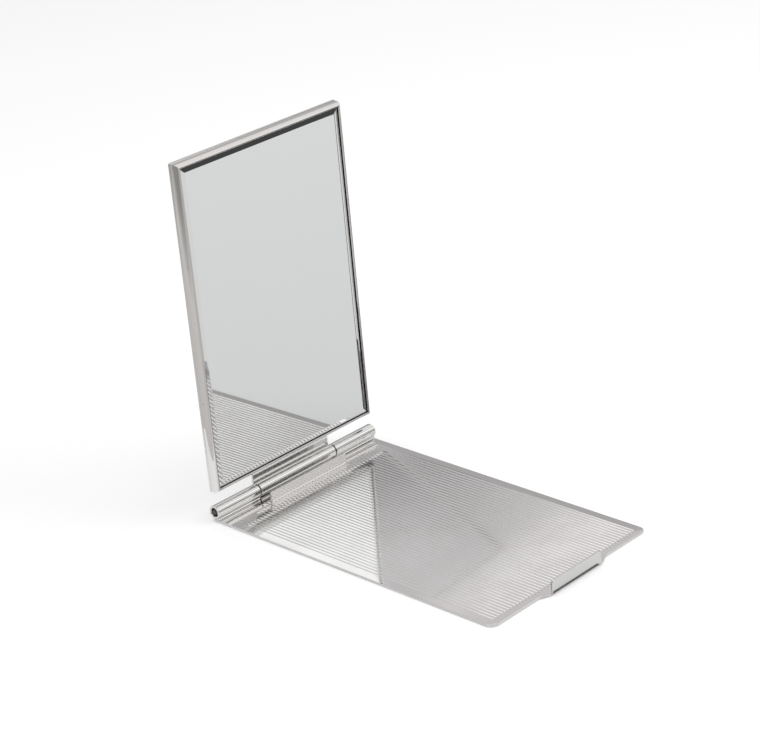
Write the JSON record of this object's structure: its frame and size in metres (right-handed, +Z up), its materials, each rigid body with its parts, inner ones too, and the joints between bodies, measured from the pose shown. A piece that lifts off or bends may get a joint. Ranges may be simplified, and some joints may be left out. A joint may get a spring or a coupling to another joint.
{
  "type": "compact mirror",
  "caption": "Flat folding handbag mirror: a bevelled glass in a thin metal frame, hinged to an engraved cover plate with a catch lip.",
  "frame": {"origin": "the middle of the cover plate's underside, which lies on Z = 0", "axes": "+X along the hinge, +Y from the catch lip towards the hinge, +Z up; the mirror stands open at +Y"},
  "size_m": [0.054, 0.0898, 0.0885],
  "materials": {
    "silver": "polished silver plate",
    "satin_silver": "silver plate, less polished",
    "pin_steel": "drawn steel rod",
    "silvered_glass": "glass with a bevelled edge, silvered behind",
    "grey_card": "grey card"
  },
  "bodies": {
    "cover": {"cover_plate": "silver", "catch_lip": "silver", "catch_bead": "silver", "knuckle_guard": "satin_silver", "left_knuckle": "silver", "right_knuckle": "silver", "hinge_pin": "pin_steel"},
    "mirror": {"hinge_leaf": "silver", "back_plate": "silver", "bottom_rail": "silver", "top_rail": "silver", "left_rail": "silver", "right_rail": "silver", "mirror_glass": "silvered_glass", "backing_card": "grey_card"}
  },
  "joints": [
    {"name": "mirror_hinge", "type": "hinge", "parent": "cover", "child": "mirror", "pos_m": [0, 0.043, 0.00235], "axis": [1, 0, 0], "range_deg": [-89, 90.8]}
  ]
}
